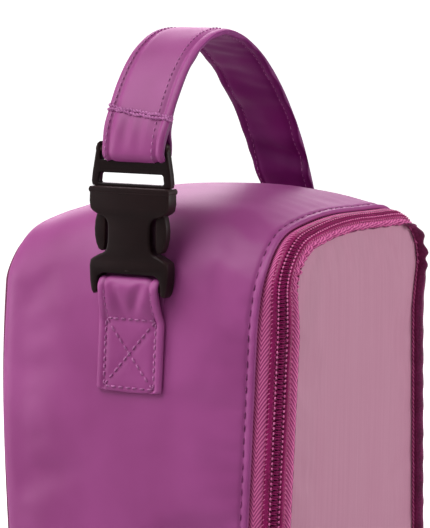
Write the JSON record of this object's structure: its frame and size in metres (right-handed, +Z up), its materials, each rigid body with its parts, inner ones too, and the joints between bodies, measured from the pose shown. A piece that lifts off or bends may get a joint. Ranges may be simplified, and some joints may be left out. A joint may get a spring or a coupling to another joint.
{
  "type": "skate bag",
  "caption": "Upright arched carrying bag with padded leatherette walls, a zipped front door on a bottom hinge and a strap handle with a side-release buckle.",
  "frame": {"origin": "centre of the underside of the base", "axes": "+X along the front door towards the side without the buckle, -Y out of the front door, +Z up"},
  "size_m": [0.2192, 0.1749, 0.4128],
  "materials": {
    "leatherette": "satin",
    "foam": "matte",
    "lining_cloth": "matte",
    "piping_cloth": "satin",
    "base_cloth": "matte",
    "board": "matte",
    "door_cloth": "matte",
    "zip_tape": "matte",
    "zip_coil": "satin",
    "zip_metal": "satin",
    "thread": "satin",
    "buckle_plastic": "satin"
  },
  "bodies": {
    "bag": {"side_wrap": "leatherette", "wall_foam": "foam", "wall_lining": "lining_cloth", "back_panel": "leatherette", "back_foam": "foam", "back_lining": "lining_cloth", "back_piping": "piping_cloth", "base_cloth": "base_cloth", "base_board": "board", "front_sill": "door_cloth", "sill_board": "foam", "zip_tape_body": "zip_tape", "zip_coil_body": "zip_coil", "zip_end_tabs": "leatherette", "zip_stops": "zip_metal", "hinge_strip": "door_cloth", "strap_far": "leatherette", "tab_near": "leatherette", "tab_stitching": "thread", "far_stitching": "thread", "buckle_socket": "buckle_plastic"},
    "door": {"door_panel": "door_cloth", "door_foam": "foam", "door_lining": "lining_cloth", "door_binding": "piping_cloth", "zip_tape_door": "zip_tape", "zip_coil_door": "zip_coil"},
    "slider": {"zip_slider": "zip_metal"},
    "pull": {"zip_pull": "zip_metal"},
    "plug": {"buckle_plug": "buckle_plastic", "strap_near": "leatherette", "cross_stitching": "thread"},
    "arm_front": {"plug_arm_front": "buckle_plastic"},
    "arm_rear": {"plug_arm_rear": "buckle_plastic"}
  },
  "joints": [
    {"name": "door_hinge", "type": "hinge", "parent": "bag", "child": "door", "pos_m": [0, -0.08894, 0.0456], "axis": [1, 0, 0], "range_deg": [0, 95]},
    {"name": "zip_slide", "type": "slide", "parent": "bag", "child": "slider", "axis": [-0.061, 0, 0.9981], "range_m": [0, 0.215]},
    {"name": "pull_flip", "type": "hinge", "parent": "slider", "child": "pull", "pos_m": [0.10236, -0.09054, 0.03231], "axis": [-0.7058, -0.7071, -0.0432], "range_deg": [0, 165]},
    {"name": "plug_slide", "type": "slide", "parent": "bag", "child": "plug", "axis": [0, 0, 1], "range_m": [0, 0.045]},
    {"name": "arm_front_squeeze", "type": "hinge", "parent": "plug", "child": "arm_front", "pos_m": [-0.1015, -0.01825, 0.3168], "axis": [1, 0, 0], "range_deg": [0, 6]},
    {"name": "arm_rear_squeeze", "type": "hinge", "parent": "plug", "child": "arm_rear", "pos_m": [-0.1015, 0.01825, 0.3168], "axis": [1, 0, 0], "range_deg": [-6, 0]}
  ],
  "couplings": [
    {"joint": "arm_rear_squeeze", "follows": "arm_front_squeeze", "ratio": -1}
  ]
}
